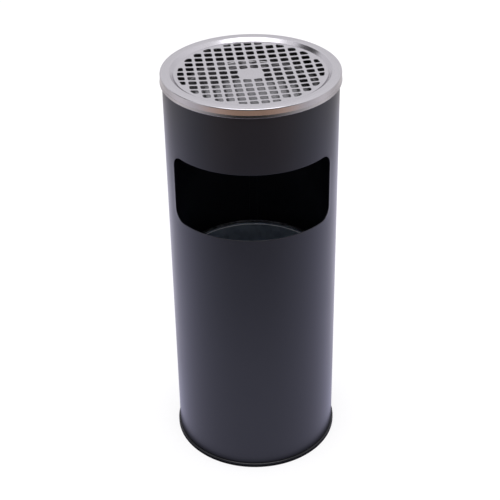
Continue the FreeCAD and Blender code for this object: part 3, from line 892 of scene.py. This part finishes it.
def galvanised():
    """Hot-dip zinc: flat crystals of slightly different brightness, painted darker and bluer
    as shade, white bloom, and a painted highlight along the liner's rim."""
    m, g, shader = new_material("galvanised")
    place = g.place()
    cells = g.add("ShaderNodeTexVoronoi", {"Vector": place, "Scale": 1 / ZINC_CRYSTAL},
                  output="Color")
    level = g.add("ShaderNodeSeparateColor", {"Color": cells})
    feather = g.noise(place, 0.0016, 5.0, 0.6)
    bloom = g.fade(g.noise(place, 0.03, 5.0, 0.6), 0.55, 0.75)
    # Painted shade: the crystal tones are darker and bluer than bare zinc.
    color = g.tint(level, *ZINC_SHADED_COLORS)
    color = g.tint(g.times(feather, 0.3), color, ZINC_FEATHER)
    color = g.tint(g.times(bloom, 0.25), color, ZINC_BLOOM)
    roughness = g.math("ADD", g.mix(level, 0.34, 0.46), g.times(bloom, 0.12))
    # Painted highlight: a light, non-metallic band just under the liner's top stands in for the
    # light its rolled rim catches.
    below_top = g.math("SUBTRACT", LINER_TOP * MM, g.axes(place)[2])
    high, low = RIM_HIGHLIGHT_BAND
    rim = g.times(g.fade(below_top, low * MM, (low - RIM_HIGHLIGHT_BLEND) * MM),
                  g.fade(below_top, high * MM, (high + RIM_HIGHLIGHT_BLEND) * MM))
    color = g.tint(rim, color, ZINC_RIM_HIGHLIGHT)
    metallic = g.mix(rim, 0.6, 0.0)
    relief = g.bump(feather, 0.000012)
    connect(g, shader, base_color=color, metallic=metallic, roughness=roughness, normal=relief)
    return m


def zinc_wire():
    """Drawn and zinc-plated steel: fine lines along the part, dull patches."""
    m, g, shader = new_material("zinc_wire")
    place = g.place()
    grain = g.noise(place, 0.0004, 4.0, 0.6)
    patch = g.fade(g.noise(place, 0.008, 4.0), 0.42, 0.66)
    color = g.tint(patch, *WIRE_COLORS)
    roughness = g.math("ADD", g.mix(patch, 0.26, 0.42), g.times(grain, 0.06))
    connect(g, shader, base_color=color, metallic=1.0, roughness=roughness,
            normal=g.bump(grain, 0.00001))
    return m


def moulded_black():
    """Black polyethylene: spark-eroded grain, scuffed grey where it meets the floor."""
    m, g, shader = new_material("ring_plastic")
    place = g.place()
    grain = g.noise(place, 0.0005, 3.0, 0.6)
    scuff = g.noise(place, 0.003, 5.0, 0.7)
    near_floor = g.fade(g.axes(place)[2], 0.0, SCUFF_HEIGHT, 0.35, 0.0)
    rubbed = g.times(g.fade(g.math("ADD", scuff, near_floor), 0.62, 0.95), 0.6)
    color = g.tint(rubbed, *PLASTIC_COLORS)
    roughness = g.math("ADD", g.mix(rubbed, 0.12, 0.40), g.times(grain, 0.08))
    connect(g, shader, base_color=color, roughness=roughness, ior=PLASTIC_IOR,
            normal=g.bump(grain, 0.00002))
    return m


coat = powder_coat()
turned_steel = brushed_steel("turned_steel", turned_streaks, turned_tangent, in_bowl)
straight_steel = brushed_steel("straight_steel", straight_streaks, straight_tangent, never)
zinc = galvanised()
wire = zinc_wire()
black = moulded_black()

shell = Shell()
new_piece("tube", shell.points, shell.faces, "bin_frame", "outer_shell", "powder_coat", coat)
new_piece("foot_ring", *base_ring_mesh(), "bin_frame", "base_ring", "ring_plastic", black)
new_piece("pan", *pan_mesh(), "pan_unit", "ash_pan", "stainless", turned_steel)
new_piece("grate", *grate_mesh(), "grate_unit", "ash_grate", "stainless", straight_steel)

zinc_nodes = ("base_plate", "liner_body", "liner_bottom")
wire_nodes = ("liner_rim_wire", "bail_ear_left", "bail_ear_right", "ear_rivets", "bail")
for nodes, material in ((zinc_nodes, zinc), (wire_nodes, wire)):
    for node in nodes:
        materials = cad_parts[node].data.materials
        materials.clear()
        materials.append(material)


# ------------------------------------------------------------------ studio

# The floor as reflections see it. Distances are from the bin's axis, in metres. Turns are
# angles away from straight ahead of the bin, in radians. A pair of either says where a change
# starts and ends; a pair of levels or colours says what it changes from and to.
CONTACT_SHADOW = (0.128, 0.141)
CONTACT_LEVEL = 0.04
ASIDE = (0.2, 1.9)            # turns over which the front gives way to the side
FRONT_AXIS_LEVEL = 1.08       # the front falls off evenly from this level at the axis
FRONT_FALL = 0.88             # per metre
FRONT_LEVELS = (0.15, 0.77)   # lowest and highest
FRONT_END = (1.6, 2.6)
FRONT_END_LEVEL = 0.1
SIDE_NEAR = (0.13, 0.5)
SIDE_NEAR_LEVELS = (0.95, 1.02)
SIDE_FAR = (0.75, 1.1)
SIDE_FAR_LEVEL = 0.74
BEYOND = (1.15, 1.35)         # farther off, the floor is darker towards the back
BEYOND_TURNS = (1.65, 2.3)
BEYOND_LEVEL = 0.62
BACK_TURNS = (2.0, 2.8)       # the whole floor is brighter straight behind
BACK_LEVEL = 1.45
NEAR_TO_FAR = (1.14, 1.28)    # distances over which the tint changes
NEAR_TURNS = (1.6, 2.5)
NEAR_COLORS = ((0.95, 0.94, 1.27), (0.94, 0.92, 1.12))
FAR_COLOR = (1.02, 0.97, 0.99)
PATCH_TURNS = (0.2, 1.3)      # far off, a brown patch lies straight ahead
PATCH_END = (1.5, 1.8)
PATCH_COLORS = ((2.9, 1.75, 1.1), (1.0, 0.97, 1.0))

FLOOR_REACH = 12.0
FLOOR_COLOR = (0.92, 0.92, 0.92)
FLOOR_WASH = 0.7              # how far the camera sees it washed out to white

# The room. Directions point from the bin, z up and -y to the front.
EVEN_LIGHT = 1.22
LIGHT_COLOR = (0.985, 0.97, 1.02)
WALL_RISE = (0.2, 0.75)       # z over which the walls brighten
WALL_LEVELS = (0.74, 0.94)
ROOM_FRONT = (0.35, 0.7)      # -y over which the walls end in the dark part of the room
ROOM_FRONT_LEVEL = 0.04
STAND_DIRECTION = (-0.77, 0.23, 0.59)
STAND_EDGE = (0.952, 0.975)   # cosine of the angle from its middle
STAND_LEVEL = 0.02
SOFTBOX_LEVEL = 4.0
SOFTBOX_FRONT = 0.56          # of its height, ahead of the bin
SOFTBOX_WIDTH = (0.70, 0.55)  # half its width over its height, outer and inner edge
SOFTBOX_DEPTH = (0.36, 0.28)

CAMERA_LENS = 88.5            # mm
CAMERA_SENSOR = 36.0          # mm
CAMERA_PLACE = (0.01284, -1.5484, 1.3070)
CAMERA_DOWN = 0.5677          # these three in radians
CAMERA_TURN = -0.0116
CAMERA_ROLL = -0.0166


def light_path(g, kind):
    """1 for rays of this kind, 0 for others."""
    return g.add("ShaderNodeLightPath", {}, output=kind)


def floor_level(g, distance, turn):
    """The floor's brightness in reflections: bright at the sides and behind, falling off in
    front of the bin, where the unlit part of the studio begins, and dark under its foot."""
    front = g.math("MULTIPLY_ADD", distance, -FRONT_FALL, FRONT_AXIS_LEVEL)
    front = g.math("MINIMUM", g.math("MAXIMUM", front, FRONT_LEVELS[0]), FRONT_LEVELS[1])
    front = g.times(front, g.fade(distance, *FRONT_END, 1.0, FRONT_END_LEVEL))
    side = g.times(g.fade(distance, *SIDE_NEAR, *SIDE_NEAR_LEVELS),
                   g.fade(distance, *SIDE_FAR, 1.0, SIDE_FAR_LEVEL))
    beyond = g.fade(turn, *BEYOND_TURNS, 1.0, BEYOND_LEVEL)
    side = g.times(side, g.mix(g.fade(distance, *BEYOND), 1.0, beyond))
    side = g.times(side, g.fade(turn, *BACK_TURNS, 1.0, BACK_LEVEL))
    level = g.mix(g.fade(turn, *ASIDE), front, side)
    return g.times(level, g.fade(distance, *CONTACT_SHADOW, CONTACT_LEVEL, 1.0))


def floor_tint(g, distance, turn):
    """The floor's colour in reflections: bluish near the bin and white farther off, with the
    brown patch ahead."""
    near = g.tint(g.fade(turn, *NEAR_TURNS), *NEAR_COLORS)
    patch = g.tint(g.fade(distance, *PATCH_END), *PATCH_COLORS)
    far = g.tint(g.fade(turn, *PATCH_TURNS), patch, FAR_COLOR)
    return g.tint(g.fade(distance, *NEAR_TO_FAR), near, far)


def floor_material():
    """White, with its soft shadows mostly washed out where the camera sees it, and with its
    own brightness and tint in reflections."""
    m, g, shader = new_material("floor_white")
    connect(g, shader, base_color=FLOOR_COLOR, roughness=0.8)
    white = g.add("ShaderNodeEmission", {"Color": (1.0, 1.0, 1.0), "Strength": 1.0})
    wash = g.times(light_path(g, "Is Camera Ray"), FLOOR_WASH)
    seen = g.add("ShaderNodeMixShader", {0: wash, 1: shader.outputs[0], 2: white})
    place = g.add("ShaderNodeNewGeometry", {}, output="Position")
    distance = g.radius(place)
    ahead = g.times(g.axes(place)[1], -1.0)
    turn = g.math("ARCCOSINE", g.math("DIVIDE", ahead, distance))
    reflected = g.add("ShaderNodeEmission", {"Color": floor_tint(g, distance, turn),
                                             "Strength": floor_level(g, distance, turn)})
    surface = g.add("ShaderNodeMixShader", {0: light_path(g, "Is Glossy Ray"), 1: seen,
                                            2: reflected})
    g.connect(surface, m.node_tree.nodes["Material Output"].inputs["Surface"])
    return m


def make_floor():
    mesh = bpy.data.meshes.new("floor")
    corners = [(x * FLOOR_REACH, y * FLOOR_REACH, 0)
               for x, y in ((-1, -1), (1, -1), (1, 1), (-1, 1))]
    mesh.from_pydata(corners, [], [(0, 1, 2, 3)])
    mesh.materials.append(floor_material())
    floor = bpy.data.objects.new("floor", mesh)
    bpy.context.scene.collection.objects.link(floor)


def make_world():
    """Even studio light. In reflections: bright walls behind and beside the bin, a dark
    room in front, a softbox overhead and one dark stand at the left."""
    world = bpy.data.worlds.new("studio")
    bpy.context.scene.world = world
    world.use_nodes = True
    g = Graph(world.node_tree)
    direction = g.add("ShaderNodeTexCoord", {}, output="Generated")
    x, y, z = g.axes(direction)
    walls = g.fade(z, *WALL_RISE, *WALL_LEVELS)
    level = g.mix(g.fade(g.times(y, -1.0), *ROOM_FRONT), walls, ROOM_FRONT_LEVEL)
    stand = g.add("ShaderNodeVectorMath", {0: direction, 1: STAND_DIRECTION}, output="Value",
                  operation="DOT_PRODUCT")
    level = g.mix(g.fade(stand, *STAND_EDGE), level, STAND_LEVEL)
    across = g.math("ABSOLUTE", g.math("DIVIDE", x, z))
    along = g.math("ABSOLUTE", g.math("ADD", g.math("DIVIDE", y, z), SOFTBOX_FRONT))
    softbox = g.times(g.fade(across, *SOFTBOX_WIDTH), g.fade(along, *SOFTBOX_DEPTH))
    softbox = g.times(softbox, g.math("GREATER_THAN", z, 0.0))
    level = g.mix(softbox, level, SOFTBOX_LEVEL)
    strength = g.mix(light_path(g, "Is Glossy Ray"), EVEN_LIGHT, level)
    background = world.node_tree.nodes["Background"]
    g.connect(strength, background.inputs["Strength"])
    g.connect(LIGHT_COLOR, background.inputs["Color"])


def make_overhead_light():
    """Soft light from above. Reflections don't see it: the world's softbox is there."""
    light = bpy.data.lights.new("overhead", "AREA")
    light.size = 1.3
    light.energy = 14
    lamp = bpy.data.objects.new("overhead", light)
    lamp.location = (0, -0.2, 1.9)
    aim = Vector((0, 0, 0.5))
    lamp.rotation_euler = (aim - lamp.location).to_track_quat("-Z", "Y").to_euler()
    lamp.visible_glossy = False
    bpy.context.scene.collection.objects.link(lamp)


def make_camera():
    camera = bpy.data.objects.new("camera", bpy.data.cameras.new("camera"))
    camera.data.lens = CAMERA_LENS
    camera.data.sensor_width = CAMERA_SENSOR
    camera.location = CAMERA_PLACE
    camera.rotation_euler = (Matrix.Rotation(-CAMERA_TURN, 3, "Z")
                             @ Matrix.Rotation(math.pi / 2 - CAMERA_DOWN, 3, "X")
                             @ Matrix.Rotation(CAMERA_ROLL, 3, "Z")).to_euler()
    bpy.context.scene.collection.objects.link(camera)
    bpy.context.scene.camera = camera


make_floor()
make_world()
make_overhead_light()
make_camera()
bpy.context.scene.view_settings.view_transform = "Standard"
